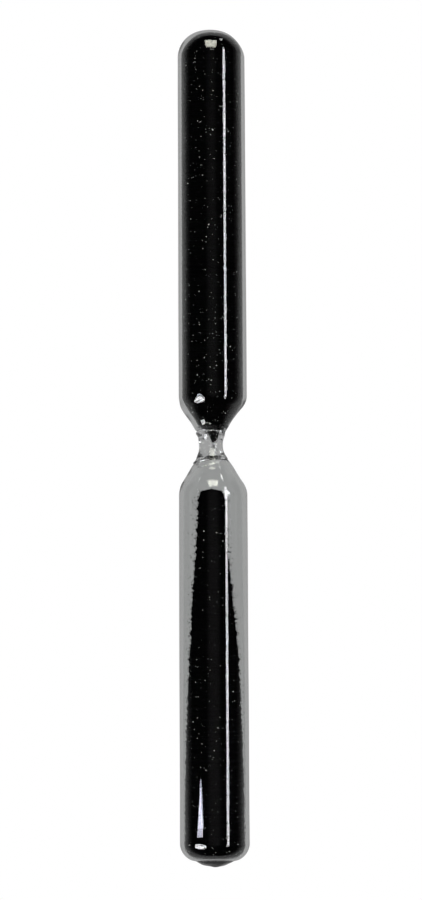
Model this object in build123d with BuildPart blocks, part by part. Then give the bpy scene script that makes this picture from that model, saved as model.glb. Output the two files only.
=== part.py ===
"""A slim glass hourglass that lies on a table: two long tubular bulbs joined by a thick neck.

The glass is borosilicate tubing worked in a flame. The upper bulb has a round dome, closed with a
bead of glass on its inside. The lower bulb has a flatter base, with the filling hole in its middle
and a fused seal over it. Both bulbs narrow through a conical shoulder to a short neck with a fine
throat. Black sand fills most of the upper bulb and lies in a long tongue in the lower one, and a
few grains are held in the throat. The ends are round, so it has no foot to stand on.

Frame: millimetres, +Y along the tubes towards the dome, +Z up. The origin is on the table, under the
middle of the overall length. Places along the tubes are counted from the middle of the throat,
positive towards the dome, in a profile plane that holds the axis (x is a radius, y is that place).
"""

import os
from math import cos, radians, sin, sqrt, tan

from build123d import *

# Glass tubing
tube_diameter = 25.0
tube_wall = 1.2

# Bulbs, from the middle of the throat to the top of the dome and to the base
upper_length = 157.1
lower_length = 150.8
shoulder_angle = 32.5  # of the cone's side to the axis, in degrees
shoulder_radius = 8.0  # outside, where the tube turns into the cone

# Dome of the upper bulb
dome_corner_inset = 2.5  # of its corner arc's centre from the axis
dome_crown_excess = 4.0  # of its crown's radius over the tube's
dome_thickness = 0.9  # at the pole, beside the closing bead
bead_radius = 4.6
bead_height = 1.5

# Base of the lower bulb
base_corner_radius = 6.5
base_crown_radius = 60.0
base_thickness = 0.8
fill_hole_diameter = 8.0
seal_diameter = 13.4
seal_height = 1.7

# Neck, from a waist level with the middle of the throat to its welds
waist_radius = 4.32
waist_curve_radius = 7.0
upper_flare_angle = 16.0
lower_flare_angle = 23.5
neck_upper_reach = 5.2
neck_lower_reach = 6.1
weld_radius = 0.55  # of the round bead at each weld
weld_rise = 0.18  # of that bead above the glass beside it

# Bore of the neck: a throat with a tapered mouth at each side, and a funnel up to the bulb's cone
throat_diameter = 1.0
throat_reach = 0.4  # from its middle to its ends
throat_edge_radius = 1.5
upper_mouth_radius = 2.0
upper_mouth_depth = 1.1  # inside the neck's end
lower_mouth_radius = 1.8
lower_mouth_depth = 1.5
mouth_edge_radius = 1.0
upper_funnel_lift = 3.3  # from the mouth to the bulb's cone
lower_funnel_lift = 1.6

# Sand, with its clearance from the glass
sand_gap = 0.1
upper_bed_height = 4.5  # of its surface above the tubes' axis
upper_tip_reach = 0.9  # of its tip from the middle of the throat
lower_toe_depth = 1.2  # over the bottom of the tube, where the shoulder ends
lower_knee_depth = 2.0  # where the surface turns steeper
lower_knee_reach = 41.0
lower_crest_depth = 9.0  # where the surface eases off again, up to the base
lower_crest_run = 25.0
lower_base_depth = 10.0
lower_bed_bend = 300.0  # radius of both turns
grain_diameter = 0.6
grain_spacing = 0.04
grain_count = 3

# Worked out from the sizes above
tube_radius = tube_diameter / 2
bore_radius = tube_radius - tube_wall
throat_radius = throat_diameter / 2
dome_corner_radius = tube_radius - dome_corner_inset
dome_crown_radius = tube_radius + dome_crown_excess
slant = radians(shoulder_angle)
nose_length = lower_length + seal_height
throat_place = (nose_length - upper_length) / 2  # of the throat's middle, in the row frame
axis_height = tube_radius

profile_plane = Plane(origin=(0, throat_place, axis_height), x_dir=(1, 0, 0), z_dir=(0, 0, 1))
side_plane = Plane(origin=(0, throat_place, axis_height), x_dir=(0, 1, 0), z_dir=(1, 0, 0))
tube_axis = Axis((0, 0, axis_height), (0, 1, 0))


def on_axis(place):
    """A plane square to the tubes at a place along them, facing the dome."""
    return Plane(origin=(0, throat_place + place, axis_height), z_dir=(0, 1, 0))


def neck_end(flare_angle, reach):
    """Outside radius of one end of the neck, past its waist curve and along its flare."""
    flare = radians(flare_angle)
    curve_rise = waist_curve_radius * (1 - cos(flare))
    straight = reach - waist_curve_radius * sin(flare)
    return waist_radius + curve_rise + straight * tan(flare)


def shoulder_place(end_radius, reach):
    """Distance from the throat at which the straight tube begins."""
    corner = reach + (tube_radius - end_radius) / tan(slant)
    return corner + shoulder_radius * tan(slant / 2)


upper_end_radius = neck_end(upper_flare_angle, neck_upper_reach)
lower_end_radius = neck_end(lower_flare_angle, neck_lower_reach)
upper_shoulder = shoulder_place(upper_end_radius, neck_upper_reach)
lower_shoulder = shoulder_place(lower_end_radius, neck_lower_reach)


def cone_radius(shoulder, inset, distance):
    """Radius of a shoulder's cone at a distance from the throat, inset from the outside surface."""
    arc_end = shoulder - shoulder_radius * sin(slant)
    arc_radius = tube_radius - shoulder_radius * (1 - cos(slant))
    return arc_radius - (arc_end - distance) * tan(slant) - inset / cos(slant)


def crown_drop(crown, radius):
    """How far a crown falls away from its pole at a radius from the axis."""
    return crown - sqrt(crown**2 - radius**2)


def draw_bulb_side(sign, shoulder, inset, near, pole, corner, crown):
    """Draws one bulb's side from its cone to its pole, into the BuildLine that is open.

    sign is 1 towards the dome and -1 towards the base. near is where on the cone it starts, and pole
    is where it meets the axis, both as distances from the throat. The end is dished: a corner arc
    turns the tube in, and a crown arc closes it.
    """
    radius = tube_radius - inset
    knuckle = shoulder_radius - inset
    centre_gap = sqrt((crown - corner) ** 2 - (radius - corner) ** 2)
    tube_end = pole - crown + centre_gap
    steepest = Vector(radius - corner, centre_gap).get_angle(Vector(1, 0))

    cone_start = (cone_radius(shoulder, inset, near), sign * near)
    cone_end = (radius - knuckle * (1 - cos(slant)), sign * (shoulder - knuckle * sin(slant)))
    Line(cone_start, cone_end)
    CenterArc((radius - knuckle, sign * shoulder), knuckle, -sign * shoulder_angle, sign * shoulder_angle)
    Line((radius, sign * shoulder), (radius, sign * tube_end))
    CenterArc((radius - corner, sign * tube_end), corner, 0, sign * steepest)
    CenterArc((0, sign * (pole - crown)), crown, sign * steepest, sign * (90 - steepest))


def draw_hollow(gap):
    """Draws half the outline of the hollow in the glass, drawn in by a gap, into the open BuildLine."""
    inset = tube_wall + gap
    upper_mouth = neck_upper_reach - upper_mouth_depth + gap
    lower_mouth = neck_lower_reach - lower_mouth_depth + gap
    upper_rim = upper_mouth + upper_funnel_lift
    lower_rim = lower_mouth + lower_funnel_lift
    upper_near = upper_rim + mouth_edge_radius
    lower_near = lower_rim + mouth_edge_radius
    edge = mouth_edge_radius
    FilletPolyline(
        (cone_radius(upper_shoulder, inset, upper_near), upper_near),
        (cone_radius(upper_shoulder, inset, upper_rim), upper_rim),
        (upper_mouth_radius - gap, upper_mouth),
        (throat_radius - gap, throat_reach),
        (throat_radius - gap, -throat_reach),
        (lower_mouth_radius - gap, -lower_mouth),
        (cone_radius(lower_shoulder, inset, lower_rim), -lower_rim),
        (cone_radius(lower_shoulder, inset, lower_near), -lower_near),
        radius=[edge, edge, throat_edge_radius, throat_edge_radius, edge, edge],
    )
    dome = upper_length - dome_thickness - gap
    base = lower_length - base_thickness - gap
    dome_corner = dome_corner_radius - inset
    base_corner = base_corner_radius - inset
    draw_bulb_side(1, upper_shoulder, inset, upper_near, dome, dome_corner, dome_crown_radius)
    draw_bulb_side(-1, lower_shoulder, inset, lower_near, base, base_corner, base_crown_radius)
    Line((0, dome), (0, -base))


# Half outline of the whole hollow inside the glass
with BuildSketch(profile_plane) as hollow:
    with BuildLine():
        draw_hollow(0)
    make_face()

# Upper bulb: dome, straight tube and shoulder
with BuildPart() as upper_tube:
    with BuildSketch(profile_plane) as upper_half:
        with BuildLine():
            draw_bulb_side(
                1, upper_shoulder, 0, neck_upper_reach, upper_length, dome_corner_radius, dome_crown_radius
            )
            Polyline((0, upper_length), (0, neck_upper_reach), (upper_end_radius, neck_upper_reach))
        make_face()
        add(hollow.sketch_local, mode=Mode.SUBTRACT)
    revolve(axis=tube_axis)
upper_tube.part.label = "upper_tube"

# Lower bulb: shoulder, straight tube and base, with the filling hole
with BuildPart() as lower_tube:
    with BuildSketch(profile_plane):
        with BuildLine():
            draw_bulb_side(
                -1, lower_shoulder, 0, neck_lower_reach, lower_length, base_corner_radius, base_crown_radius
            )
            Polyline((0, -lower_length), (0, -neck_lower_reach), (lower_end_radius, -neck_lower_reach))
        make_face()
        add(hollow.sketch_local, mode=Mode.SUBTRACT)
    revolve(axis=tube_axis)
    with Locations(on_axis(2 * base_thickness - lower_length)):
        Hole(radius=fill_hole_diameter / 2, depth=3 * base_thickness)
lower_tube.part.label = "lower_tube"

# Neck: a short thick capillary, with a round bead of glass at each weld
with BuildPart() as neck:
    with BuildSketch(profile_plane):
        with BuildLine():
            waist_centre = (waist_radius + waist_curve_radius, 0)
            upper_flare = CenterArc(waist_centre, waist_curve_radius, 180, -upper_flare_angle)
            lower_flare = CenterArc(waist_centre, waist_curve_radius, 180, lower_flare_angle)
            Polyline(
                upper_flare @ 1,
                (upper_end_radius, neck_upper_reach),
                (0, neck_upper_reach),
                (0, -neck_lower_reach),
                (lower_end_radius, -neck_lower_reach),
                lower_flare @ 1,
            )
        make_face()
        with Locations(
            (upper_end_radius + weld_rise - weld_radius, neck_upper_reach - weld_radius),
            (lower_end_radius + weld_rise - weld_radius, weld_radius - neck_lower_reach),
        ):
            Circle(weld_radius)
        add(hollow.sketch_local, mode=Mode.SUBTRACT)
    revolve(axis=tube_axis)
neck.part.label = "neck"

# Fused seal: a plug that fills the filling hole, under a shallow nub
with BuildPart() as fill_seal:
    with BuildSketch(profile_plane):
        with BuildLine():
            seal_radius = seal_diameter / 2
            plug_radius = fill_hole_diameter / 2
            plug_top = 2 * base_thickness - lower_length
            seal_rim = (seal_radius, crown_drop(base_crown_radius, seal_radius) - lower_length)
            SagittaArc((0, -nose_length), seal_rim, -seal_height / 4)
            plug_corner = (plug_radius, seal_rim[1])
            Polyline(seal_rim, plug_corner, (plug_radius, plug_top), (0, plug_top), (0, -nose_length))
        make_face()
        add(hollow.sketch_local, mode=Mode.SUBTRACT)
    revolve(axis=tube_axis)
    add(lower_tube.part, mode=Mode.SUBTRACT)
fill_seal.part.label = "fill_seal"

# Closing bead, gathered inside the dome
with BuildPart() as dome_bead:
    with BuildSketch(profile_plane):
        with BuildLine():
            bead_top = upper_length - dome_thickness
            bead_bottom = bead_top - bead_height
            bead_rim = (bead_radius, bead_top - crown_drop(dome_crown_radius, bead_radius))
            SagittaArc((0, bead_bottom), bead_rim, (bead_rim[1] - bead_bottom) / 3)
            Polyline(bead_rim, (bead_radius, bead_top), (0, bead_top), (0, bead_bottom))
        make_face()
        add(upper_half.sketch_local, mode=Mode.SUBTRACT)
    revolve(axis=tube_axis)
dome_bead.part.label = "dome_bead"

# Half outline of the space for sand, which stays clear of the glass and of the closing bead
with BuildSketch(profile_plane) as sand_space:
    with BuildLine():
        draw_hollow(sand_gap)
    make_face()
    with Locations((0, bead_bottom - sand_gap)):
        Rectangle(bead_radius + sand_gap, tube_radius, align=Align.MIN, mode=Mode.SUBTRACT)

# Sand in the upper bulb, level from the dome to the shoulder and filling the funnel
with BuildPart() as upper_sand_bed:
    add(sand_space.sketch)
    revolve(axis=tube_axis)
    with BuildSketch(side_plane):
        with Locations((upper_tip_reach, upper_bed_height)):
            Rectangle(upper_length, tube_diameter, align=(Align.MIN, Align.MAX))
    extrude(amount=tube_radius, both=True, mode=Mode.INTERSECT)
upper_sand_bed.part.label = "upper_sand_bed"

# Sand in the lower bulb, a tongue that deepens from its toe in the shoulder towards the base
with BuildPart() as lower_sand_bed:
    add(sand_space.sketch)
    revolve(axis=tube_axis)
    with BuildSketch(side_plane):
        with BuildLine():
            toe_slope = (lower_knee_depth - lower_toe_depth) / (lower_knee_reach - lower_shoulder)
            bed = FilletPolyline(
                (0, lower_toe_depth - toe_slope * lower_shoulder - bore_radius),
                (-lower_knee_reach, lower_knee_depth - bore_radius),
                (lower_crest_run - lower_length, lower_crest_depth - bore_radius),
                (-lower_length, lower_base_depth - bore_radius),
                radius=lower_bed_bend,
            )
            Polyline(bed @ 0, (0, -tube_radius), (-lower_length, -tube_radius), bed @ 1)
        make_face()
    extrude(amount=tube_radius, both=True, mode=Mode.INTERSECT)
lower_sand_bed.part.label = "lower_sand_bed"

# Grains in the throat, one behind another under the tip of the upper sand
with BuildPart() as throat_grains:
    grain_pitch = grain_diameter + grain_spacing
    for index in range(grain_count):
        with Locations(on_axis(upper_tip_reach - (index + 1) * grain_pitch)):
            Sphere(grain_diameter / 2)
throat_grains.part.label = "throat_grains"

pieces = [
    upper_tube,
    lower_tube,
    neck,
    fill_seal,
    dome_bead,
    upper_sand_bed,
    lower_sand_bed,
    throat_grains,
]
os.makedirs("parts", exist_ok=True)
for piece in pieces:
    export_step(piece.part, f"parts/{piece.part.label}.step")
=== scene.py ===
"""The looks of a slim glass hourglass, filled with black sand and lying on a table.

The glass is one fused envelope: two long tubes with conical shoulders, a thick hand-worked neck, a
dome with a bead inside it and a base with a fused nub. Inside lie two beds of black sand, with loose
grains at their edges and pale specks among them, a thread of grains in the throat and a thin cake of
sand in the base's wall. The specks are pale grains whose pale colour is partly real and partly painted
glint. All sizes are in metres. Shapes are drawn around the middle of the throat, with +Y along the
tubes towards the dome and +Z up, and then put in their place.
"""

import logging
import math
import random
from bisect import bisect_left
from collections.abc import Callable
from dataclasses import dataclass
from enum import Enum

import bmesh
import bpy
from mathutils import Matrix, Vector, noise


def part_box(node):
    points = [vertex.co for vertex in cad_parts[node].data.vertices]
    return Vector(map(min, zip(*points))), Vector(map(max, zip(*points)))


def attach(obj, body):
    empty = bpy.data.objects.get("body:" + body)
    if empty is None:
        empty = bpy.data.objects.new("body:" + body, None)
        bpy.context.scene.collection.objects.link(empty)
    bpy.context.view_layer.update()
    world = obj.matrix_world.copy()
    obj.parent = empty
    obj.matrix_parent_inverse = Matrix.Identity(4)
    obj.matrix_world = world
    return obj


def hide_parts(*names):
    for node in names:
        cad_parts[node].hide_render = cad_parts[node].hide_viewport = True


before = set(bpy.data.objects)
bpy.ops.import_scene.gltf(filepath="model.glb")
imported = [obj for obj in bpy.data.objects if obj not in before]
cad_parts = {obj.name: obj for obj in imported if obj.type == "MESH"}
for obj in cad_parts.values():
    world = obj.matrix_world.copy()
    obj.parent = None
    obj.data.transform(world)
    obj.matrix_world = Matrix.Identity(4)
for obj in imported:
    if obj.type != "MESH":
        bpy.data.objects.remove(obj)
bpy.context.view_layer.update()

MM = 0.001
FULL_TURN = 2 * math.pi
MERGE_DISTANCE = 1e-7
LOG = logging.getLogger("hourglass")
Colour = tuple[float, float, float, float]
DARKEST_GRAIN: Colour = (0.0002, 0.0002, 0.0002, 1)
DARK_GRAIN: Colour = (0.0009, 0.0009, 0.0010, 1)
# Pale grains: partly real pale colour, partly painted glint of reflective grains.
PALE_GRAIN_AND_GLINT: Colour = (0.66, 0.68, 0.66, 1)
WHITE: Colour = (1, 1, 1, 1)


class Side(Enum):
    """The two bulbs, with the sign of their places along the tubes."""

    UPPER = 1
    LOWER = -1


def smooth_step(start: float, end: float, value: float) -> float:
    """Rises smoothly from 0 at start to 1 at end.

    Args:
        start: Where the rise begins.
        end: Where the rise is over.
        value: Where the rise is read.

    Returns:
        The share of the rise, from 0 to 1.
    """
    share = min(max((value - start) / (end - start), 0.0), 1.0)
    return share * share * (3 - 2 * share)


def soft_ramp(value: float, bend: float) -> float:
    """A ramp that is 0 before its start and rises 1 for 1 after it, with a smooth bend.

    Args:
        value: Distance past the start.
        bend: Half the length over which it bends.

    Returns:
        The height of the ramp.
    """
    if value <= -bend:
        return 0.0
    if value >= bend:
        return value
    return (value + bend) ** 2 / (4 * bend)


def ring(middle: float, width: float, value: float) -> float:
    """A bell curve along the tubes, 1 in its middle.

    Args:
        middle: Place of its top.
        width: Its standard deviation.
        value: Where it is read.

    Returns:
        Its height there, from 0 to 1.
    """
    return math.exp(-0.5 * ((value - middle) / width) ** 2)


def make_object(bm: bmesh.types.BMesh, name: str) -> bpy.types.Object:
    """Makes a drawn shape an object of the scene.

    Args:
        bm: The shape. It is freed.
        name: The new object's name.

    Returns:
        The object, which sits at the origin.
    """
    mesh = bpy.data.meshes.new(name)
    bm.to_mesh(mesh)
    bm.free()
    made = bpy.data.objects.new(name, mesh)
    bpy.context.scene.collection.objects.link(made)
    return made


def finish_piece(bm: bmesh.types.BMesh, name: str, place: Vector) -> bpy.types.Object:
    """Moves a drawn shape to its place and makes it a smooth-shaded object.

    Args:
        bm: The shape, drawn around the middle of the throat. It is freed.
        name: The new object's name.
        place: The middle of the throat, in the row frame.

    Returns:
        The object, which sits at the origin with its place in its mesh.
    """
    bmesh.ops.translate(bm, verts=bm.verts[:], vec=place)
    for face in bm.faces:
        face.smooth = True
    return make_object(bm, name)


@dataclass(frozen=True)
class Corner:
    """One corner of an outline: its radius from the axis, its place along it and its rounding."""

    radius: float
    place: float
    rounding: float = 0.0


@dataclass
class Outline:
    """Half an outline of a turned shape, from one pole to the other."""

    corners: list[Corner]
    fine_step: float = 0.14 * MM
    coarse_step: float = 2.2 * MM
    fine_reach: float = 8.0 * MM
    coarse_reach: float = 26.0 * MM
    arc_step: float = 0.45 * MM

    def step_at(self, place: float) -> float:
        """Returns how far apart points stand on a straight stretch, finer near the throat."""
        share = smooth_step(self.fine_reach, self.coarse_reach, abs(place))
        return self.fine_step + share * (self.coarse_step - self.fine_step)

    def round_corner(self, bm: bmesh.types.BMesh, vert: bmesh.types.BMVert, index: int) -> None:
        """Rounds one corner into an arc that is tangent to both of its sides.

        Args:
            bm: The outline as wire.
            vert: The corner's vertex.
            index: The corner's number.
        """
        before, here, after = (
            Vector((corner.radius, corner.place)) for corner in self.corners[index - 1 : index + 2]
        )
        turn = (here - before).angle(after - here)
        rounding = self.corners[index].rounding
        step = min(self.arc_step, self.step_at(here.y) * 2)
        bmesh.ops.bevel(
            bm,
            geom=[vert],
            offset=rounding * math.tan(turn / 2),
            offset_type="OFFSET",
            segments=max(3, round(rounding * turn / step)),
            profile=0.5,
            affect="VERTICES",
            material=-1,
        )

    def draw(self) -> bmesh.types.BMesh:
        """Draws the outline as wire.

        Returns:
            A bmesh that holds one chain of edges, with y as the place and z as the radius.
        """
        bm = bmesh.new()
        verts = [bm.verts.new((0.0, corner.place, corner.radius)) for corner in self.corners]
        for first, second in zip(verts, verts[1:]):
            bm.edges.new((first, second))
        for index, corner in enumerate(self.corners):
            if corner.rounding:
                self.round_corner(bm, verts[index], index)
        bmesh.ops.remove_doubles(bm, verts=bm.verts[:], dist=MERGE_DISTANCE)
        for edge in bm.edges[:]:
            middle = (edge.verts[0].co.y + edge.verts[1].co.y) / 2
            cuts = int(edge.calc_length() / max(self.step_at(middle), self.fine_step))
            if cuts:
                bmesh.ops.subdivide_edges(bm, edges=[edge], cuts=cuts)
        return bm

    def turned(self, steps: int, inwards: bool = False) -> bmesh.types.BMesh:
        """Spins the outline into a closed shape.

        Args:
            steps: How many facets it has around.
            inwards: Whether its faces point at the axis, as a hollow's do.

        Returns:
            The closed shape as a bmesh.
        """
        bm = self.draw()
        bmesh.ops.spin(
            bm,
            geom=bm.verts[:] + bm.edges[:],
            cent=(0, 0, 0),
            axis=(0, 1, 0),
            angle=FULL_TURN,
            steps=steps,
            use_merge=True,
        )
        bmesh.ops.remove_doubles(bm, verts=bm.verts[:], dist=MERGE_DISTANCE)
        bmesh.ops.recalc_face_normals(bm, faces=bm.faces[:])
        if inwards:
            bmesh.ops.reverse_faces(bm, faces=bm.faces[:])
        return bm

    def walk(self) -> list[tuple[float, float]]:
        """Walks the outline from its first pole to its last.

        Returns:
            The place and the radius of each point, in the order of the outline.
        """
        bm = self.draw()
        here = min(bm.verts, key=lambda vert: vert.co.y + vert.co.z)
        points, edge = [(here.co.y, here.co.z)], None
        while edge is None or len(here.link_edges) == 2:
            edge = next(other for other in here.link_edges if other != edge)
            here = edge.other_vert(here)
            points.append((here.co.y, here.co.z))
        bm.free()
        return points


@dataclass(frozen=True)
class Swell:
    """A ring on the outside that stands out or is drawn in, and may differ on the left side."""

    place: float
    width: float
    height: float
    left_height: float = 0.0
    left_shift: float = 0.0

    def at(self, place: float, left: float) -> float:
        """How far it moves the outside at one spot.

        Args:
            place: Place along the tubes.
            left: 1 on the side towards -X, -1 on the other side.

        Returns:
            The change of the outside radius.
        """
        height = self.height + self.left_height * (1 + left) / 2
        return height * ring(self.place + self.left_shift * left, self.width, place)


@dataclass(frozen=True)
class Waves:
    """One layer of unevenness in the glass: its depth, its length along the tubes and its rate around."""

    depth: float
    length: float
    rate: float

    def at(self, direction: Vector, place: float) -> float:
        """Returns how far it moves the outside at a place, in one direction from the axis."""
        spot = Vector((direction.x * self.rate, place / self.length, direction.z * self.rate))
        return self.depth * noise.noise(spot)


@dataclass(frozen=True)
class Lean:
    """A sideways step in the glass, towards -X, that grows between two places along the tubes."""

    amount: float
    start: float
    end: float

    def at(self, place: float) -> float:
        """Returns how far the glass stands aside at a place."""
        return self.amount * smooth_step(self.start, self.end, place)


@dataclass(frozen=True)
class HandWork:
    """The marks of the flame on the outside: swollen welds, a bump, waves and parts that lean."""

    swells: tuple[Swell, ...] = (
        Swell(4.55 * MM, 0.42 * MM, 0.06 * MM, 0.34 * MM, 0.1 * MM),
        Swell(5.3 * MM, 0.24 * MM, -0.16 * MM, -0.18 * MM, 0.1 * MM),
        Swell(-5.38 * MM, 0.40 * MM, 0.10 * MM, 0.34 * MM, -0.9 * MM),
        Swell(-6.0 * MM, 0.22 * MM, -0.20 * MM, -0.14 * MM, -0.9 * MM),
        Swell(8.8 * MM, 2.5 * MM, -0.44 * MM),
        Swell(2.6 * MM, 2.2 * MM, -0.10 * MM),
        Swell(-7.8 * MM, 1.5 * MM, 0.20 * MM),
    )
    leans: tuple[Lean, ...] = (
        Lean(0.25 * MM, -17.5 * MM, -12.0 * MM),
        Lean(0.45 * MM, -8.0 * MM, -0.5 * MM),
        Lean(-0.70 * MM, 12.0 * MM, 17.5 * MM),
    )
    drawn_waves: Waves = Waves(0.07 * MM, 34 * MM, 0.35)
    drawn_start: float = 9.0 * MM
    drawn_full: float = 22.0 * MM
    flame_waves: Waves = Waves(0.12 * MM, 3.4 * MM, 1.3)
    flame_full: float = 6.0 * MM
    flame_end: float = 17.0 * MM
    weld_crinkle: Waves = Waves(0.12 * MM, 0.85 * MM, 5.5)
    weld_places: tuple[float, ...] = (4.6 * MM, -5.6 * MM)
    weld_width: float = 1.5 * MM
    bump_height: float = 0.34 * MM
    bump_place: float = 6.9 * MM
    bump_length: float = 1.0 * MM
    bump_side: float = math.radians(24)
    bump_width: float = math.radians(14)

    def swell(self, direction: Vector, place: float) -> float:
        """How far the glass swells or draws in at one spot.

        Args:
            direction: Direction of the spot from the axis, of length 1.
            place: Place along the tubes.

        Returns:
            The change of the outside radius.
        """
        total = sum(swell.at(place, -direction.x) for swell in self.swells)
        on_tubes = smooth_step(self.drawn_start, self.drawn_full, abs(place))
        near_neck = 1 - smooth_step(self.flame_full, self.flame_end, abs(place))
        at_welds = sum(ring(weld, self.weld_width, place) for weld in self.weld_places)
        total += self.drawn_waves.at(direction, place) * on_tubes
        total += self.flame_waves.at(direction, place) * near_neck
        total += self.weld_crinkle.at(direction, place) * at_welds
        around = math.atan2(-direction.x, direction.z)
        on_side = ring(self.bump_side, self.bump_width, around)
        return total + self.bump_height * ring(self.bump_place, self.bump_length, place) * on_side

    def lean(self, place: float) -> float:
        """Returns how far the neck and shoulders stand off the axis, towards -X."""
        return sum(lean.at(place) for lean in self.leans)


@dataclass
class GlassEnvelope:
    """The fused glass: both tubes, the neck between them, the closing bead and the seal."""

    wall: float = 1.2 * MM
    shoulder_slant: float = math.radians(32.5)
    shoulder_rounding: float = 8.0 * MM
    dome_corner: float = 10.0 * MM
    dome_crown: float = 16.5 * MM
    dome_thickness: float = 0.9 * MM
    base_corner: float = 6.5 * MM
    base_crown: float = 60.0 * MM
    base_thickness: float = 0.8 * MM
    fill_hole_radius: float = 4.0 * MM
    upper_neck_reach: float = 5.2 * MM
    lower_neck_reach: float = 6.1 * MM
    waist_radius: float = 4.32 * MM
    waist_rounding: float = 7.0 * MM
    upper_flare: float = math.radians(16.0)
    lower_flare: float = math.radians(23.5)
    throat_radius: float = 0.5 * MM
    throat_reach: float = 0.4 * MM
    throat_rounding: float = 1.5 * MM
    upper_mouth_radius: float = 2.0 * MM
    upper_mouth_depth: float = 1.1 * MM
    lower_mouth_radius: float = 1.8 * MM
    lower_mouth_depth: float = 1.5 * MM
    mouth_rounding: float = 1.0 * MM
    upper_funnel_lift: float = 3.3 * MM
    lower_funnel_lift: float = 1.6 * MM
    nub_fullness: float = 0.96
    nub_rim_rounding: float = 0.9 * MM
    nub_lump: float = 0.25 * MM
    nub_lump_size: float = 3.1 * MM
    nub_lump_seed: tuple[float, float, float] = (4.0, 0.0, 2.0)
    nub_start: float = 0.6 * MM
    nub_full: float = 0.9 * MM
    bead_rim_rounding: float = 0.3 * MM
    bead_nose_share: float = 0.7
    bead_nose_rounding: float = 2.4 * MM
    dome_lean: float = 0.45 * MM
    dome_lean_start: float = 11.0 * MM
    dome_lean_full: float = 3.0 * MM
    pole_fade: float = 2.0 * MM
    work: HandWork = HandWork()
    facets: int = 112

    def __post_init__(self) -> None:
        """Takes the outer sizes and the places of the ends from the frame."""
        _, upper_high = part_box("upper_tube")
        lower_low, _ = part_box("lower_tube")
        _, neck_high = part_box("neck")
        seal_low, seal_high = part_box("fill_seal")
        bead_low, bead_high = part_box("dome_bead")
        self.tube_radius = upper_high.x
        self.middle = Vector((0, neck_high.y - self.upper_neck_reach, upper_high.z - self.tube_radius))
        self.dome_pole = upper_high.y - self.middle.y
        self.base_pole = lower_low.y - self.middle.y - self.base_drop(self.fill_hole_radius)
        self.nose_pole = seal_low.y - self.middle.y
        self.seal_radius = seal_high.x
        self.bead_radius = bead_high.x
        self.bead_bottom = bead_low.y - self.middle.y

    def base_drop(self, radius: float) -> float:
        """Returns how far the base's crown falls away from its pole at a radius."""
        return self.base_crown - math.sqrt(self.base_crown**2 - radius**2)

    def neck_end(self, side: Side) -> Corner:
        """The outside corner where the neck meets one bulb's shoulder.

        Args:
            side: The bulb.

        Returns:
            The corner, without a rounding.
        """
        upper = side is Side.UPPER
        flare = self.upper_flare if upper else self.lower_flare
        reach = self.upper_neck_reach if upper else self.lower_neck_reach
        curve_rise = self.waist_rounding * (1 - math.cos(flare))
        straight = reach - self.waist_rounding * math.sin(flare)
        radius = self.waist_radius + curve_rise + straight * math.tan(flare)
        return Corner(radius, side.value * reach)

    def cone_radius(self, side: Side, inset: float, distance: float) -> float:
        """The radius of a shoulder's cone.

        Args:
            side: The bulb.
            inset: Distance inside the glass's outside surface.
            distance: Distance from the throat.

        Returns:
            The radius there.
        """
        end = self.neck_end(side)
        outside = end.radius + (distance - abs(end.place)) * math.tan(self.shoulder_slant)
        return outside - inset / math.cos(self.shoulder_slant)

    def shoulder(self, side: Side, inset: float) -> Corner:
        """The corner between a shoulder's cone and its tube.

        Args:
            side: The bulb.
            inset: Distance inside the glass's outside surface.

        Returns:
            The corner, with its rounding.
        """
        end = self.neck_end(side)
        place = abs(end.place) + (self.tube_radius - end.radius) / math.tan(self.shoulder_slant)
        place += inset * math.tan(self.shoulder_slant / 2)
        return Corner(self.tube_radius - inset, side.value * place, self.shoulder_rounding - inset)

    def dished_end(self, side: Side, inset: float, pole: float) -> list[Corner]:
        """The two corners of a dished end, whose arcs meet tangent to each other.

        Args:
            side: The bulb that it closes.
            inset: Its distance inside the tube's outside surface.
            pole: The place of its pole.

        Returns:
            The corner on the tube, and the corner beside the pole.
        """
        upper = side is Side.UPPER
        crown = self.dome_crown if upper else self.base_crown
        corner = (self.dome_corner if upper else self.base_corner) - inset
        radius = self.tube_radius - inset
        lean = math.asin((radius - corner) / (crown - corner))
        fall = crown * (1 - math.cos(lean)) + (radius - crown * math.sin(lean)) * math.tan(lean)
        return [
            Corner(radius, pole - side.value * fall, corner),
            Corner(crown * math.tan(lean / 2), pole, crown),
        ]

    def outside(self) -> Outline:
        """Draws the outside of the glass.

        Returns:
            The outline, from the nub on the base to the dome's pole.
        """
        rim_place = self.base_pole + self.base_drop(self.seal_radius)
        nub_height = rim_place - self.nose_pole
        nub_crown = (self.seal_radius**2 + nub_height**2) / (2 * nub_height)
        nub_lean = math.asin(self.seal_radius / nub_crown)
        lower_end, upper_end = self.neck_end(Side.LOWER), self.neck_end(Side.UPPER)
        flares = math.tan(self.upper_flare) + math.tan(self.lower_flare)
        lower_foot = lower_end.radius + lower_end.place * math.tan(self.lower_flare)
        upper_foot = upper_end.radius - upper_end.place * math.tan(self.upper_flare)
        waist_place = (lower_foot - upper_foot) / flares
        waist = upper_foot + waist_place * math.tan(self.upper_flare)
        return Outline(
            [
                Corner(0, self.nose_pole),
                Corner(nub_crown * math.tan(nub_lean / 2), self.nose_pole, nub_crown * self.nub_fullness),
                Corner(self.seal_radius, rim_place, self.nub_rim_rounding),
                self.dished_end(Side.LOWER, 0, self.base_pole)[0],
                self.shoulder(Side.LOWER, 0),
                lower_end,
                Corner(waist, waist_place, self.waist_rounding),
                upper_end,
                self.shoulder(Side.UPPER, 0),
                *self.dished_end(Side.UPPER, 0, self.dome_pole),
                Corner(0, self.dome_pole),
            ]
        )

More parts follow.
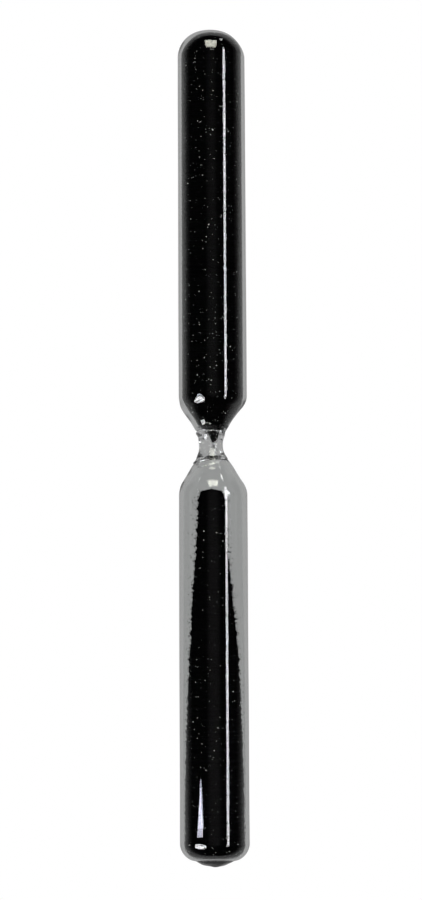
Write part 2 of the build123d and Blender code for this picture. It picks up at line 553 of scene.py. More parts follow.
    def hollow(self, gap: float = 0.0) -> Outline:
        """Draws the hollow in the glass, or a shape that stays a gap inside it.

        Args:
            gap: How far the outline is drawn in from the glass.

        Returns:
            The outline, from the base's inner pole to the closing bead in the dome.
        """
        inset = self.wall + gap
        dome = self.dome_pole - self.dome_thickness - gap
        base = self.base_pole + self.base_thickness + gap
        upper_mouth = self.upper_neck_reach - self.upper_mouth_depth + gap
        lower_mouth = self.lower_neck_reach - self.lower_mouth_depth + gap
        upper_rim = upper_mouth + self.upper_funnel_lift
        lower_rim = lower_mouth + self.lower_funnel_lift
        dome_side, dome_top = self.dished_end(Side.UPPER, inset, dome)
        base_side, base_top = self.dished_end(Side.LOWER, inset, base)
        bead_slope = (dome_top.place - dome_side.place) / (dome_side.radius - dome_top.radius)
        bead_rim = dome_top.place - (self.bead_radius + gap - dome_top.radius) * bead_slope
        nose = self.bead_radius * self.bead_nose_share
        throat = self.throat_radius - gap
        return Outline(
            [
                Corner(0, base),
                base_top,
                base_side,
                self.shoulder(Side.LOWER, inset),
                Corner(self.cone_radius(Side.LOWER, inset, lower_rim), -lower_rim, self.mouth_rounding),
                Corner(self.lower_mouth_radius - gap, -lower_mouth, self.mouth_rounding),
                Corner(throat, -self.throat_reach, self.throat_rounding),
                Corner(throat, self.throat_reach, self.throat_rounding),
                Corner(self.upper_mouth_radius - gap, upper_mouth, self.mouth_rounding),
                Corner(self.cone_radius(Side.UPPER, inset, upper_rim), upper_rim, self.mouth_rounding),
                self.shoulder(Side.UPPER, inset),
                dome_side,
                Corner(self.bead_radius + gap, bead_rim, self.bead_rim_rounding),
                Corner(nose, self.bead_bottom - gap, self.bead_nose_rounding),
                Corner(0, self.bead_bottom - gap),
            ]
        )

    def lean(self, place: float) -> float:
        """Returns how far the glass stands off the axis at a place along the tubes, towards -X."""
        on_dome = smooth_step(-self.dome_lean_start, -self.dome_lean_full, place - self.dome_pole)
        return self.work.lean(place) + self.dome_lean * on_dome

    def hand_work(self, bm: bmesh.types.BMesh) -> None:
        """Gives the turned outside the small unevenness of glass worked in a flame.

        Args:
            bm: The outside as turned.
        """
        for vert in bm.verts:
            place = vert.co.y
            across = Vector((vert.co.x, 0, vert.co.z))
            radius = across.length
            if radius < MERGE_DISTANCE:
                continue
            direction = across / radius
            swell = self.work.swell(direction, place)
            on_nub = smooth_step(self.nub_start, -self.nub_full, place - self.base_pole)
            lump = noise.noise(across / self.nub_lump_size + Vector(self.nub_lump_seed))
            vert.co += direction * swell * min(1.0, radius / self.pole_fade)
            vert.co.y += self.nub_lump * on_nub * lump
            vert.co.x -= self.lean(place)

    def build(self) -> bpy.types.Object:
        """Builds the glass as one closed mesh, with its outside and its hollow.

        Returns:
            The envelope, which stands for all five glass nodes.
        """
        glass = self.outside().turned(self.facets)
        self.hand_work(glass)
        hollow = self.hollow().turned(self.facets, inwards=True)
        lining = bpy.data.meshes.new("glass_lining")
        hollow.to_mesh(lining)
        hollow.free()
        glass.from_mesh(lining)
        bpy.data.meshes.remove(lining)
        piece = finish_piece(glass, "glass_envelope", self.middle)
        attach(piece, "glass")
        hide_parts("upper_tube", "lower_tube", "neck", "fill_seal", "dome_bead")
        return piece


@dataclass
class SandBed:
    """One bed of sand: it fills the hollow up to a surface that may slope and tilt."""

    name: str
    body: str
    node: str
    glass: GlassEnvelope
    start: float
    end: float
    level: Callable[[float], float]
    tilt: Callable[[float], float]
    gap: float = 0.07 * MM
    row_step: float = 0.36 * MM
    columns: int = 60
    relief: float = 0.06 * MM
    relief_size: float = 0.42 * MM
    relief_sink: float = 0.7
    hollows: float = 0.06 * MM
    hollow_size: float = 6.0 * MM
    calm_core: float = 1.2 * MM
    edge_creep: float = 0.9 * MM
    edge_size: float = 0.9 * MM
    cap_rows: int = 8
    steepest_crease: float = math.radians(75)
    weld_distance: float = 0.004 * MM

    def __post_init__(self) -> None:
        """Reads how much room the hollow leaves at each place short of the closing bead."""
        self.lining = self.glass.hollow(self.gap).walk()
        straight = [point for point in self.lining if point[0] < self.glass.bead_bottom - self.gap]
        self.places = [place for place, room in straight]
        self.rooms = [room for place, room in straight]

    def room_at(self, place: float) -> float:
        """The radius that the sand may have.

        Args:
            place: Place along the tubes.

        Returns:
            The radius there, between two points of the lining.
        """
        index = min(max(bisect_left(self.places, place), 1), len(self.places) - 1)
        low, high = self.places[index - 1], self.places[index]
        share = (place - low) / (high - low) if high > low else 0.0
        return self.rooms[index - 1] + share * (self.rooms[index] - self.rooms[index - 1])

    def crease(self, place: float, room: float) -> float:
        """The line where the surface meets the glass, uneven unless the glass is nearly full there.

        Args:
            place: Place along the tubes.
            room: Radius of the bed there.

        Returns:
            Its angle above the level of the axis.
        """
        if room <= 0:
            return math.pi / 2
        crease = math.asin(min(max(self.level(place) / room, -1.0), 1.0))
        if abs(crease) > self.steepest_crease:
            return crease
        return crease + self.edge_creep / room * noise.noise(Vector((place / self.edge_size, 0.3, 0.7)))

    def point(self, place: float, room: float, across: float, top: bool) -> Vector:
        """A point on the bed's skin.

        Args:
            place: Place along the tubes.
            room: Radius of the bed there.
            across: From -1 at the left edge of the surface to 1 at its right edge.
            top: Whether it is on the surface, not against the glass.

        Returns:
            The point, around the middle of the throat.
        """
        crease = self.crease(place, room)
        if top:
            offset = Vector((across * room * math.cos(crease), 0, room * math.sin(crease)))
        else:
            angle = -math.pi / 2 + across * (math.pi / 2 + crease)
            offset = Vector((room * math.cos(angle), 0, room * math.sin(angle)))
        turned = Matrix.Rotation(self.tilt(place), 3, "Y") @ offset
        return turned + Vector((0, place, 0))

    def stations(self) -> list[tuple[float, float]]:
        """The rows of the bed along the lining, with a flat cap at the end that faces the throat.

        Returns:
            A place and a radius for each row.
        """
        inside = [point for point in self.lining if self.start <= point[0] <= self.end]
        rows = [inside[0]]
        for place, room in inside[1:]:
            before, room_before = rows[-1]
            count = max(1, round(math.hypot(place - before, room - room_before) / self.row_step))
            for index in range(1, count + 1):
                share = index / count
                rows.append((before + (place - before) * share, room_before + (room - room_before) * share))
        shares = [index / self.cap_rows for index in range(self.cap_rows)]
        head = [(rows[0][0], rows[0][1] * share) for share in shares]
        tail = [(rows[-1][0], rows[-1][1] * share) for share in reversed(shares)]
        return head + rows + tail

    def roughen(self, bm: bmesh.types.BMesh) -> None:
        """Gives the surface the relief of its grains, and draws the skin in a little everywhere.

        Args:
            bm: The closed bed.
        """
        bm.normal_update()
        moves = []
        for vert in bm.verts:
            grain = noise.noise(vert.co / self.relief_size)
            wide = noise.noise(vert.co / self.hollow_size)
            rise = self.relief * (grain - self.relief_sink) + self.hollows * min(wide, 0.0)
            moves.append(vert.normal * rise)
        for vert, move in zip(bm.verts, moves):
            depth = Vector((vert.co.x, vert.co.z)).length
            vert.co += move * min(1.0, depth / self.calm_core)

    def build(self) -> bpy.types.Object:
        """Builds the bed as one closed mesh: its surface and its skin against the glass.

        Returns:
            The bed, which stands for its CAD node.
        """
        rows = self.stations()
        bm = bmesh.new()
        for top in (True, False):
            made = bmesh.ops.create_grid(
                bm, x_segments=self.columns, y_segments=len(rows) - 1, size=0.5
            )
            for vert in made["verts"]:
                place, room = rows[round((vert.co.y + 0.5) * (len(rows) - 1))]
                vert.co = self.point(place, room, vert.co.x * 2, top)
        bmesh.ops.remove_doubles(bm, verts=bm.verts[:], dist=self.weld_distance)
        bmesh.ops.dissolve_degenerate(bm, edges=bm.edges[:], dist=self.weld_distance / 2)
        bmesh.ops.recalc_face_normals(bm, faces=bm.faces[:])
        self.roughen(bm)
        piece = finish_piece(bm, self.name, self.glass.middle)
        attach(piece, self.body)
        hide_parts(self.node)
        return piece


@dataclass
class LooseGrains:
    """A pile of separate grains, each a small uneven stone with twenty faces."""

    name: str
    body: str
    middle: Vector
    dice: random.Random
    small: float = 0.09 * MM
    large: float = 0.17 * MM

    def __post_init__(self) -> None:
        """Starts an empty pile."""
        self.pile = bmesh.new()
        self.scratch = bpy.data.meshes.new("one_grain")

    def size(self) -> float:
        """Returns the radius of the next grain."""
        return self.small + (self.large - self.small) * self.dice.random() ** 2

    def add(self, place: Vector, radius: float) -> None:
        """Adds one grain to the pile.

        Args:
            place: Its middle, around the middle of the throat.
            radius: Its largest radius.
        """
        turn = Matrix.Rotation(self.dice.uniform(0, FULL_TURN), 4, Vector((
            self.dice.uniform(-1, 1), self.dice.uniform(-1, 1), self.dice.uniform(0.1, 1))))
        shape = Matrix.Diagonal((1, self.dice.uniform(0.6, 1), self.dice.uniform(0.55, 0.95), 1))
        grain = bmesh.new()
        bmesh.ops.create_icosphere(
            grain, subdivisions=1, radius=radius, matrix=Matrix.Translation(place) @ turn @ shape
        )
        grain.to_mesh(self.scratch)
        grain.free()
        self.pile.from_mesh(self.scratch)

    def build(self) -> bpy.types.Object:
        """Makes the pile one object that rides on its body.

        Returns:
            The pile, with flat faces.
        """
        piece = finish_piece(self.pile, self.name, self.middle)
        piece.data.shade_flat()
        bpy.data.meshes.remove(self.scratch)
        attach(piece, self.body)
        return piece


@dataclass
class Sand:
    """All the sand: a bed in each bulb, loose grains on both, and the grains in the throat."""

    glass: GlassEnvelope
    seed: int = 41
    upper_level: float = 4.5 * MM
    upper_tip: float = 0.95 * MM
    toe_depth: float = 1.3 * MM
    knee_depth: float = 2.0 * MM
    knee_reach: float = 41.0 * MM
    crest_depth: float = 9.0 * MM
    crest_run: float = 25.0 * MM
    base_depth: float = 10.0 * MM
    tongue_tilt: float = math.radians(3.4)
    surface_grains: int = 2000
    edge_grains: int = 1500
    edge_grain_growth: float = 1.6
    stray_grains: int = 260
    cake_radius: float = 5.2 * MM
    cake_depth: float = 0.34 * MM
    specks: int = 1900
    speck_small: float = 0.07 * MM
    speck_large: float = 0.17 * MM
    speck_depth: float = 0.8
    speck_reach: float = 0.98
    bed_bend: float = 9.0 * MM
    tilt_start: float = -52.0 * MM
    tilt_full: float = -74.0 * MM
    narrowest_bed: float = 2.0 * MM
    grain_clearance: float = 0.02 * MM
    grain_reach: float = 0.97
    grain_lowest: float = -0.2
    grain_highest: float = 0.5
    edge_spread: float = 0.45 * MM
    stray_spread: float = 1.5 * MM
    farthest_climb: float = 0.5
    thread_grains: int = 46
    thread_radius: float = 0.30 * MM
    cake_lumps: float = 0.06
    cake_lump_size: float = 1.1 * MM

    def __post_init__(self) -> None:
        """Seeds the dice and works out the radius of the bore."""
        self.dice = random.Random(self.seed)
        self.bore = self.glass.tube_radius - self.glass.wall

    def lower_level(self, place: float) -> float:
        """Height of the lower bed's surface from the axis, at a place along the tubes.

        Args:
            place: Place along the tubes, negative in the lower bulb.

        Returns:
            The height, which is negative below the axis.
        """
        distance = -place
        shoulder = abs(self.glass.shoulder(Side.LOWER, 0).place)
        base = -self.glass.base_pole
        crest_reach = base - self.crest_run
        toe_slope = (self.knee_depth - self.toe_depth) / (self.knee_reach - shoulder)
        rise_slope = (self.crest_depth - self.knee_depth) / (crest_reach - self.knee_reach)
        end_slope = (self.base_depth - self.crest_depth) / self.crest_run
        knee = self.knee_depth + (distance - self.knee_reach) * toe_slope
        knee += (rise_slope - toe_slope) * soft_ramp(distance - self.knee_reach, self.bed_bend)
        knee += (end_slope - rise_slope) * soft_ramp(distance - crest_reach, self.bed_bend)
        return knee - self.bore

    def lower_tilt(self, place: float) -> float:
        """Returns how far the lower bed's surface is turned about the axis, up on the left."""
        return self.tongue_tilt * smooth_step(self.tilt_full, self.tilt_start, place)

    def beds(self) -> list[SandBed]:
        """Lists the two beds.

        Returns:
            The upper bed, which fills its bulb nearly to the top, and the lower bed's long tongue.
        """
        upper = SandBed(
            name="upper_sand_heap",
            body="upper_sand",
            node="upper_sand_bed",
            glass=self.glass,
            start=self.upper_tip,
            end=self.glass.dome_pole,
            level=lambda place: self.upper_level,
            tilt=lambda place: 0.0,
        )
        lower = SandBed(
            name="lower_sand_tongue",
            body="lower_sand",
            node="lower_sand_bed",
            glass=self.glass,
            start=self.glass.base_pole,
            end=-14.1 * MM,
            level=self.lower_level,
            tilt=self.lower_tilt,
        )
        return [upper, lower]

    def scatter(self, bed: SandBed) -> LooseGrains:
        """Strews grains over a bed's surface and along its edges.

        Args:
            bed: The bed that they lie on and ride with.

        Returns:
            The pile, not yet built.
        """
        pile = LooseGrains(f"{bed.name}_grains", bed.body, self.glass.middle, self.dice)
        low, high = max(bed.start, bed.places[0]), min(bed.end, bed.places[-1])
        wanted = self.surface_grains + self.edge_grains + self.stray_grains
        for index in range(wanted):
            place = self.dice.uniform(low, high)
            radius = pile.size() * (1.0 if index < self.surface_grains else self.edge_grain_growth)
            room = bed.room_at(place) - radius - self.grain_clearance
            if room <= abs(bed.level(place)) or room < self.narrowest_bed:
                continue
            crease = bed.crease(place, bed.room_at(place))
            if index < self.surface_grains:
                across = self.dice.uniform(-self.grain_reach, self.grain_reach)
                spot = bed.point(place, bed.room_at(place), across, True)
                spot.z += radius * self.dice.uniform(self.grain_lowest, self.grain_highest)
            else:
                stray = index >= self.surface_grains + self.edge_grains
                spread = self.stray_spread if stray else self.edge_spread
                climb = self.dice.expovariate(1 / spread) / room
                side = self.dice.choice((-1, 1))
                climb = min(climb, self.farthest_climb)
                angle = math.pi / 2 - side * (math.pi / 2 - crease - climb)
                offset = Vector((room * math.cos(angle), place, room * math.sin(angle)))
                spot = Matrix.Rotation(bed.tilt(place), 3, "Y") @ offset
            if math.hypot(spot.x, spot.z) > room + MERGE_DISTANCE:
                continue
            pile.add(spot, radius)
        return pile

    def pale_and_glint_grains(self, bed: SandBed) -> LooseGrains:
        """Strews a few pale grains all over a bed, on its surface and against the glass. Their pale colour
        is partly real and partly painted glint.

        Args:
            bed: The bed that they are set in and ride with.

        Returns:
            The pile, not yet built.
        """
        pile = LooseGrains(f"{bed.name}_pale_specks", bed.body, self.glass.middle, self.dice)
        pile.small, pile.large = self.speck_small, self.speck_large
        low, high = max(bed.start, bed.places[0]), min(bed.end, bed.places[-1])
        for index in range(self.specks):
            place = self.dice.uniform(low, high)
            radius = pile.size()
            room = bed.room_at(place)
            if room < self.narrowest_bed or self.dice.random() > self.share_of_sand(bed, place, room):
                continue
            across = self.dice.uniform(-self.speck_reach, self.speck_reach)
            on_surface = index % 3 == 0
            pile.add(bed.point(place, room - radius * self.speck_depth, across, on_surface), radius)
        return pile

    def share_of_sand(self, bed: SandBed, place: float, room: float) -> float:
        """Returns how much of the way round the bed touches the glass at a place, from 0 to 1."""
        return 0.5 + bed.crease(place, room) / math.pi

    def throat_grains(self) -> LooseGrains:
        """Stacks a thread of grains in the throat.

        Returns:
            The pile, not yet built.
        """
        low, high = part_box("throat_grains")
        pile = LooseGrains("throat_sand_thread", "throat_sand", self.glass.middle, self.dice)
        start, end = low.y - self.glass.middle.y, high.y - self.glass.middle.y
        for index in range(self.thread_grains):
            radius = pile.size()
            share = index / (self.thread_grains - 1)
            place = start + radius + (end - start - 2 * radius) * share
            reach = (self.thread_radius - radius) * self.dice.random() ** 0.5
            angle = self.dice.uniform(0, FULL_TURN)
            pile.add(Vector((reach * math.cos(angle), place, reach * math.sin(angle))), radius)
        return pile

    def seal_sand(self) -> bpy.types.Object:
        """Builds the thin cake of sand that was caught in the glass when the base was sealed.

        Returns:
            The cake, which lies inside the wall of the base and rides with the glass.
        """
        bm = bmesh.new()
        bmesh.ops.create_uvsphere(bm, u_segments=56, v_segments=28, radius=1.0)
        bmesh.ops.rotate(bm, verts=bm.verts[:], matrix=Matrix.Rotation(math.pi / 2, 3, "X"))
        bmesh.ops.scale(bm, verts=bm.verts[:], vec=(self.cake_radius, self.cake_depth, self.cake_radius))
        for vert in bm.verts:
            vert.co *= 1 + self.cake_lumps * noise.noise(vert.co / self.cake_lump_size)
        place = self.glass.base_pole + self.glass.base_thickness / 2
        bmesh.ops.translate(bm, verts=bm.verts[:], vec=(0, place, 0))
        piece = finish_piece(bm, "seal_sand_cake", self.glass.middle)
        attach(piece, "glass")
        return piece

    def build(self) -> list[bpy.types.Object]:
        """Builds every piece of sand.

        Returns:
            The cake in the seal, the two beds with their loose grains and pale specks, and the thread
            in the throat.
        """
        made = [self.seal_sand()]
        for bed in self.beds():
            made.append(bed.build())
            made.append(self.scatter(bed).build())
            made.append(self.pale_and_glint_grains(bed).build())
        thread = self.throat_grains().build()
        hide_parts("throat_grains")
        made.append(thread)
        return made


class NodeTree:
    """A thin wrapper that adds and links shader nodes."""

    def __init__(self, tree: bpy.types.NodeTree) -> None:
        """Takes the tree that it adds to, and empties it."""
        self.tree = tree
        tree.nodes.clear()

    def add(
        self, kind: str, values: dict[str | int, object] | None = None, **settings: object
    ) -> bpy.types.Node:
        """Adds one node.

        Args:
            kind: The node's type, without the ShaderNode in front.
            values: Constants for its input sockets, by their names or numbers.
            settings: Values for its properties.

        Returns:
            The node.
        """
        node = self.tree.nodes.new(f"ShaderNode{kind}")
        for name, value in settings.items():
            setattr(node, name, value)
        for socket, value in (values or {}).items():
            node.inputs[socket].default_value = value
        return node

    def link(self, source: bpy.types.NodeSocket, target: bpy.types.NodeSocket) -> None:
        """Links two sockets."""
        self.tree.links.new(source, target)


def new_material(name: str) -> tuple[bpy.types.Material, NodeTree]:
    """Makes a material that has no nodes yet.

    Args:
        name: The material's name.

    Returns:
        The material and its node tree.
    """
    made = bpy.data.materials.new(name)
    made.use_nodes = True
    return made, NodeTree(made.node_tree)


def grain_group() -> bpy.types.NodeTree:
    """Builds the shared grain effect: the colour of each grain, its gloss and its relief.

    Returns:
        A node group with the input Scale, an input for the share of rare pale cells, and the outputs
        Colour,
        Roughness and Height. The pale cells are partly pale grains and partly painted glint.
    """
    group = bpy.data.node_groups.new("sand_grain", "ShaderNodeTree")
    for name, value in (("Scale", 3000.0), ("Pale And Glint Share", 0.015)):
        socket = group.interface.new_socket(name=name, in_out="INPUT", socket_type="NodeSocketFloat")
        socket.default_value = value
    for name, kind in (("Colour", "Color"), ("Roughness", "Float"), ("Height", "Float")):
        group.interface.new_socket(name=name, in_out="OUTPUT", socket_type=f"NodeSocket{kind}")
    tree = NodeTree(group)
    inputs = group.nodes.new("NodeGroupInput")
    outputs = group.nodes.new("NodeGroupOutput")
    where = tree.add("TexCoord")
    cells = tree.add("TexVoronoi", feature="F1")
    tree.link(where.outputs["Object"], cells.inputs["Vector"])
    tree.link(inputs.outputs["Scale"], cells.inputs["Scale"])
    parts = tree.add("SeparateColor")
    tree.link(cells.outputs["Color"], parts.inputs["Color"])
    threshold = tree.add("Math", {0: 1.0}, operation="SUBTRACT")
    tree.link(inputs.outputs["Pale And Glint Share"], threshold.inputs[1])
    # Rare pale cells: partly pale grains, partly painted glints.
    pale = tree.add("MapRange")
    tree.link(parts.outputs["Red"], pale.inputs["Value"])
    tree.link(threshold.outputs["Value"], pale.inputs["From Min"])
    tone = tree.add("ValToRGB")
    tone.color_ramp.elements[0].color = DARKEST_GRAIN
    tone.color_ramp.elements[1].color = DARK_GRAIN
    tree.link(parts.outputs["Green"], tone.inputs["Fac"])
    colour = tree.add("Mix", {"B": PALE_GRAIN_AND_GLINT}, data_type="RGBA")
    tree.link(pale.outputs["Result"], colour.inputs["Factor"])
    tree.link(tone.outputs["Color"], colour.inputs["A"])
    tree.link(colour.outputs["Result"], outputs.inputs["Colour"])
    gloss = tree.add("MapRange", {"To Min": 0.35, "To Max": 0.75})
    tree.link(parts.outputs["Blue"], gloss.inputs["Value"])
    tree.link(gloss.outputs["Result"], outputs.inputs["Roughness"])
    height = tree.add("MapRange", {"From Max": 0.7, "To Min": 1.0, "To Max": 0.0})
    tree.link(cells.outputs["Distance"], height.inputs["Value"])
    tree.link(height.outputs["Result"], outputs.inputs["Height"])
    return group


@dataclass(frozen=True)
class SandFinish:
    """Black sand with a few pale grains, whose pale colour is partly real and partly painted glint."""

    name: str
    grain_scale: float
    pale_and_glint_share: float
    relief: float
    bump_strength: float = 0.8

    def material(self, group: bpy.types.NodeTree) -> bpy.types.Material:
        """Makes the material.

        Args:
            group: The shared grain effect.

        Returns:
            The material.
        """
        made, tree = new_material(self.name)
        output = tree.add("OutputMaterial")
        shader = tree.add("BsdfPrincipled", {"Specular IOR Level": 0.0})
        settings = {"Scale": self.grain_scale, "Pale And Glint Share": self.pale_and_glint_share}
        grain = tree.add("Group", settings, node_tree=group)
        bump = tree.add("Bump", {"Strength": self.bump_strength, "Distance": self.relief})
        tree.link(grain.outputs["Height"], bump.inputs["Height"])
        tree.link(grain.outputs["Colour"], shader.inputs["Base Color"])
        tree.link(grain.outputs["Roughness"], shader.inputs["Roughness"])
        tree.link(bump.outputs["Normal"], shader.inputs["Normal"])
        tree.link(shader.outputs["BSDF"], output.inputs["Surface"])
        return made


@dataclass(frozen=True)
class GlassFinish:
    """Clear drawn glass, with faint lines along the tubes and a faint cool tint."""

    name: str = "clear_drawn_glass"
    ior: float = 1.47
    thin_tint: Colour = (0.985, 0.992, 0.990, 1)
    deep_tint: Colour = (0.965, 0.980, 0.972, 1)
    line_scale: tuple[float, float, float] = (520, 14, 520)
    line_detail: float = 2.0
    ripple: float = 0.0008 * MM
    ripple_strength: float = 0.5

    def material(self) -> bpy.types.Material:
        """Makes the material, which lets lamps through to the sand.

        Returns:
            The material.
        """
        made, tree = new_material(self.name)
        output = tree.add("OutputMaterial")
        clear = {"Transmission Weight": 1.0, "Roughness": 0.0, "IOR": self.ior}
        shader = tree.add("BsdfPrincipled", clear)
        where = tree.add("TexCoord")
        stretch = tree.add("Mapping", {"Scale": self.line_scale})
        lines = tree.add("TexNoise", {"Scale": 1.0, "Detail": self.line_detail})
        tree.link(where.outputs["Object"], stretch.inputs["Vector"])
        tree.link(stretch.outputs["Vector"], lines.inputs["Vector"])
        tint = tree.add("Mix", {"A": self.thin_tint, "B": self.deep_tint}, data_type="RGBA")
        tree.link(lines.outputs["Fac"], tint.inputs["Factor"])
        bump = tree.add("Bump", {"Strength": self.ripple_strength, "Distance": self.ripple})
        tree.link(lines.outputs["Fac"], bump.inputs["Height"])
        tree.link(tint.outputs["Result"], shader.inputs["Base Color"])
        tree.link(bump.outputs["Normal"], shader.inputs["Normal"])
        through = tree.add("BsdfTransparent")
        path = tree.add("LightPath")
        mix = tree.add("MixShader")
        tree.link(path.outputs["Is Shadow Ray"], mix.inputs["Fac"])
        tree.link(shader.outputs["BSDF"], mix.inputs[1])
        tree.link(through.outputs["BSDF"], mix.inputs[2])
        tree.link(mix.outputs["Shader"], output.inputs["Surface"])
        return made


@dataclass
class Lamp:
    """A flat lamp that points at the middle of the timer."""

    name: str
    place: tuple[float, float, float]
    width: float
    length: float
    radiance: float
    colour: tuple[float, float, float] = (1.0, 1.0, 1.0)
    aim: tuple[float, float, float] = (0.0, 0.0, 0.0125)
    elliptic: bool = False

    def build(self) -> bpy.types.Object:
        """Makes the lamp, with its length as near along the tubes as it can be.

        Returns:
            The lamp object.
        """
        light = bpy.data.lights.new(self.name, "AREA")
        light.shape = "ELLIPSE" if self.elliptic else "RECTANGLE"
        light.size, light.size_y = self.width, self.length
        light.energy = self.radiance * math.pi * self.width * self.length
        light.color = self.colour
        lamp = bpy.data.objects.new(self.name, light)
        lamp.location = self.place
        back = (Vector(self.place) - Vector(self.aim)).normalized()
        side = Vector((0, 1, 0)).cross(back).normalized()
        along = back.cross(side)
        turn = Matrix((side, along, back)).transposed()
        lamp.matrix_world = Matrix.Translation(Vector(self.place)) @ turn.to_4x4()
        lamp.visible_camera = False
        bpy.context.scene.collection.objects.link(lamp)
        return lamp


@dataclass
class Card:
    """A flat card that only reflections show: a bright one glows, and a dark one hides a lamp."""

    name: str
    corners: list[Vector]
    radiance: float
    colour: Colour = (0.84, 0.84, 1.0, 1)

    def build(self) -> bpy.types.Object:
        """Makes the card.

        Returns:
            The card, which isn't part of the timer.
        """
        bm = bmesh.new()
        bm.faces.new([bm.verts.new(corner) for corner in self.corners])
        card = make_object(bm, self.name)
        card.visible_camera = False
        card.visible_shadow = False
        card.visible_diffuse = False
        material, tree = new_material(self.name)
        output = tree.add("OutputMaterial")
        glow = tree.add("Emission", {"Color": self.colour, "Strength": self.radiance})
        tree.link(glow.outputs["Emission"], output.inputs["Surface"])
        card.data.materials.append(material)
        return card


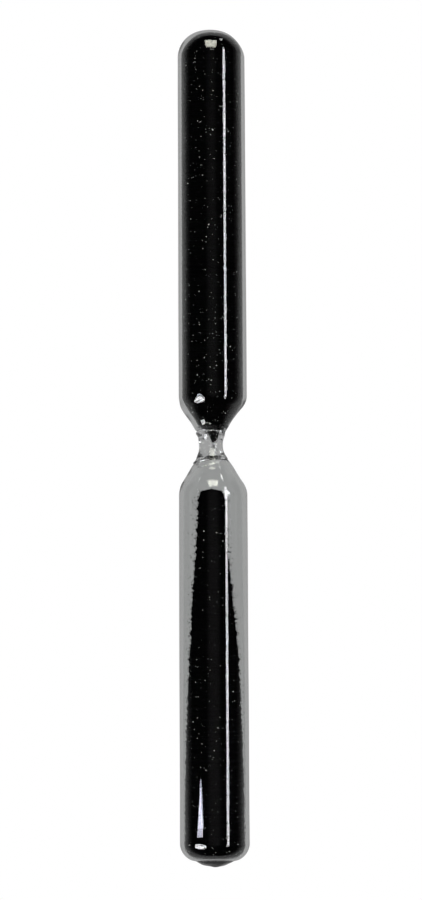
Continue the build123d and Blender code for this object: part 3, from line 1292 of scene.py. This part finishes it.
@dataclass
class Studio:
    """The pale table, the dim room, the lamps and the camera."""

    table_radius: float = 6.0
    near_reach: float = 0.02
    far_reach: float = 0.16
    # Painted glow, not lamplight: the table's grey near the timer, and the dim grey of the far table and
    # the room's horizon.
    near_table_glow: float = 0.36
    far_glow: float = 0.05
    room_dark: float = 0.0
    fade_height: float = math.radians(4)
    ceiling_grey: float = 0.05
    ceiling_start: float = math.radians(62)
    ceiling_full: float = math.radians(84)
    strip_slant: float = math.radians(45.4)
    wedge_radiance: float = 16.0
    camera_distance: float = 1.0
    camera_elevation: float = math.radians(81.5)
    camera_roll: float = math.radians(-0.27)
    focal_length: float = 109.2
    aim: tuple[float, float, float] = (-0.00072, -0.00377, 0.0125)

    def table(self) -> bpy.types.Object:
        """Makes the table, which glows though no lamp lights it: evenly white to the eye, and a painted
        glow of soft grey, dimmer away from the timer, seen through or in the glass.

        Returns:
            The table's top, which isn't part of the timer.
        """
        bm = bmesh.new()
        bmesh.ops.create_circle(bm, cap_ends=True, segments=96, radius=self.table_radius)
        table = make_object(bm, "table_top")
        material, tree = new_material("pale_table")
        output = tree.add("OutputMaterial")
        path = tree.add("LightPath")
        shade = tree.add("Mix", {"B": WHITE}, data_type="RGBA")
        where = tree.add("TexCoord")
        sides = tree.add("Mapping", {"Scale": (1, 0, 0)})
        reach = tree.add("VectorMath", operation="LENGTH")
        span = {"From Min": self.near_reach, "From Max": self.far_reach}
        greys = {"To Min": self.near_table_glow, "To Max": self.far_glow}
        # Painted glow: seen in the glass, the table is grey near the timer and dims far off.
        fall = tree.add("MapRange", span | greys, interpolation_type="SMOOTHSTEP")
        glow = tree.add("Emission")
        tree.link(where.outputs["Object"], sides.inputs["Vector"])
        tree.link(sides.outputs["Vector"], reach.inputs[0])
        tree.link(reach.outputs["Value"], fall.inputs["Value"])
        tree.link(fall.outputs["Result"], shade.inputs["A"])
        tree.link(path.outputs["Is Camera Ray"], shade.inputs["Factor"])
        tree.link(shade.outputs["Result"], glow.inputs["Color"])
        tree.link(glow.outputs["Emission"], output.inputs["Surface"])
        table.data.materials.append(material)
        return table

    def room(self) -> None:
        """Makes the room: white to the eye, and dark above the table's edge to the glass."""
        world = bpy.data.worlds.new("studio_room")
        bpy.context.scene.world = world
        world.use_nodes = True
        tree = NodeTree(world.node_tree)
        output = tree.add("OutputWorld")
        where = tree.add("TexCoord")
        parts = tree.add("SeparateXYZ")
        tree.link(where.outputs["Generated"], parts.inputs["Vector"])
        edge = {"From Min": 0.0, "From Max": math.sin(self.fade_height)}
        greys = {"To Min": self.far_glow, "To Max": self.room_dark}
        fade = tree.add("MapRange", edge | greys, interpolation_type="SMOOTHSTEP")
        tree.link(parts.outputs["Z"], fade.inputs["Value"])
        top = {"From Min": math.sin(self.ceiling_start), "From Max": math.sin(self.ceiling_full)}
        top["To Max"] = self.ceiling_grey
        ceiling = tree.add("MapRange", top, interpolation_type="SMOOTHSTEP")
        tree.link(parts.outputs["Z"], ceiling.inputs["Value"])
        both = tree.add("Math", operation="ADD")
        tree.link(fade.outputs["Result"], both.inputs[0])
        tree.link(ceiling.outputs["Result"], both.inputs[1])
        path = tree.add("LightPath")
        shade = tree.add("Mix", {"B": WHITE}, data_type="RGBA")
        tree.link(both.outputs["Value"], shade.inputs["A"])
        tree.link(path.outputs["Is Camera Ray"], shade.inputs["Factor"])
        background = tree.add("Background")
        tree.link(shade.outputs["Result"], background.inputs["Color"])
        tree.link(background.outputs["Background"], output.inputs["Surface"])

    def lamps(self) -> list[Lamp]:
        """Lists the lamps.

        Returns:
            A long strip on the right, a softbox past the dome, an octabox on the left and a low card.
        """
        strip = (math.sin(self.strip_slant), 0.06, math.cos(self.strip_slant))
        octabox = (-0.70, -0.45, 0.57)
        return [
            Lamp("long_strip", strip, width=0.112, length=0.98, radiance=11.0, colour=(0.97, 0.97, 1)),
            Lamp("dome_softbox", (0, 1, 0.85), width=0.70, length=0.78, radiance=6.8, colour=(1, 1, 0.88)),
            Lamp("left_octabox", octabox, width=0.66, length=0.48, radiance=13.0, colour=(0.96, 0.97, 1),
                 elliptic=True),
            Lamp("low_card", (0.45, 1.1, 0.2), width=0.10, length=0.10, radiance=7.0),
        ]

    def cards(self) -> list[Card]:
        """Lists the cards.

        Returns:
            The bright wedge on the left, and the dark bar that crosses the octabox.
        """
        left, up = -0.76, 0.65
        point, foot, width = -0.095, -0.134, 0.20
        wedge = [
            Vector((left + across * up, place, up - across * left))
            for across, place in ((width / 4, point), (-width, foot), (width, foot))
        ]
        middle = Vector((-0.68, -0.436, 0.553))
        level, slope = Vector((0.623, 0, 0.782)), Vector((-0.351, 0.893, 0.280))
        lengthwise = level * 0.915 + slope * 0.403
        sideways = slope * 0.915 - level * 0.403
        near, far, half = -0.36, 0.42, 0.022
        bar = [
            middle + lengthwise * reach + sideways * side
            for reach, side in ((near, -half), (far, -half), (far, half), (near, half))
        ]
        return [Card("wedge_card", wedge, self.wedge_radiance), Card("dark_bar", bar, 0.0)]

    def camera(self) -> bpy.types.Object:
        """Makes the camera, above the timer and a little towards its base.

        Returns:
            The camera, set as the scene's own.
        """
        data = bpy.data.cameras.new("studio_camera")
        data.lens = self.focal_length
        data.dof.use_dof = False
        camera = bpy.data.objects.new("studio_camera", data)
        bpy.context.scene.collection.objects.link(camera)
        back = Vector((0, -math.cos(self.camera_elevation), math.sin(self.camera_elevation)))
        turn = (-back).to_track_quat("-Z", "Y").to_matrix() @ Matrix.Rotation(self.camera_roll, 3, "Z")
        place = Vector(self.aim) + back * self.camera_distance
        camera.matrix_world = Matrix.Translation(place) @ turn.to_4x4()
        bpy.context.scene.camera = camera
        return camera

    def build(self) -> None:
        """Makes the table, the room, the lamps, the cards and the camera."""
        self.table()
        self.room()
        for lamp in self.lamps():
            lamp.build()
        for card in self.cards():
            card.build()
        self.camera()
        bpy.context.scene.view_settings.view_transform = "Standard"


def report(piece: bpy.types.Object) -> None:
    """Logs a finished piece with its number of faces."""
    LOG.info("%s: %d faces", piece.name, len(piece.data.polygons))


def main() -> None:
    logging.basicConfig(level=logging.INFO, format="%(name)s %(message)s")
    glass = GlassEnvelope()
    envelope = glass.build()
    envelope.data.materials.append(GlassFinish().material())
    report(envelope)
    group = grain_group()
    packed = SandFinish("black_sand_bed", 4200.0, 0.001, 0.05 * MM).material(group)
    loose = SandFinish("black_sand_grains", 2600.0, 0.003, 0.02 * MM).material(group)
    # Pale specks: partly pale grains, partly painted glints.
    pale = SandFinish("pale_sand_grains_painted_glint", 700.0, 1.0, 0.02 * MM).material(group)
    finishes = dict.fromkeys(("seal_sand_cake", "upper_sand_heap", "lower_sand_tongue"), packed)
    for piece in Sand(glass).build():
        finish = pale if "specks" in piece.name else finishes.get(piece.name, loose)
        piece.data.materials.append(finish)
        report(piece)
    Studio().build()


if __name__ == "__main__":
    main()
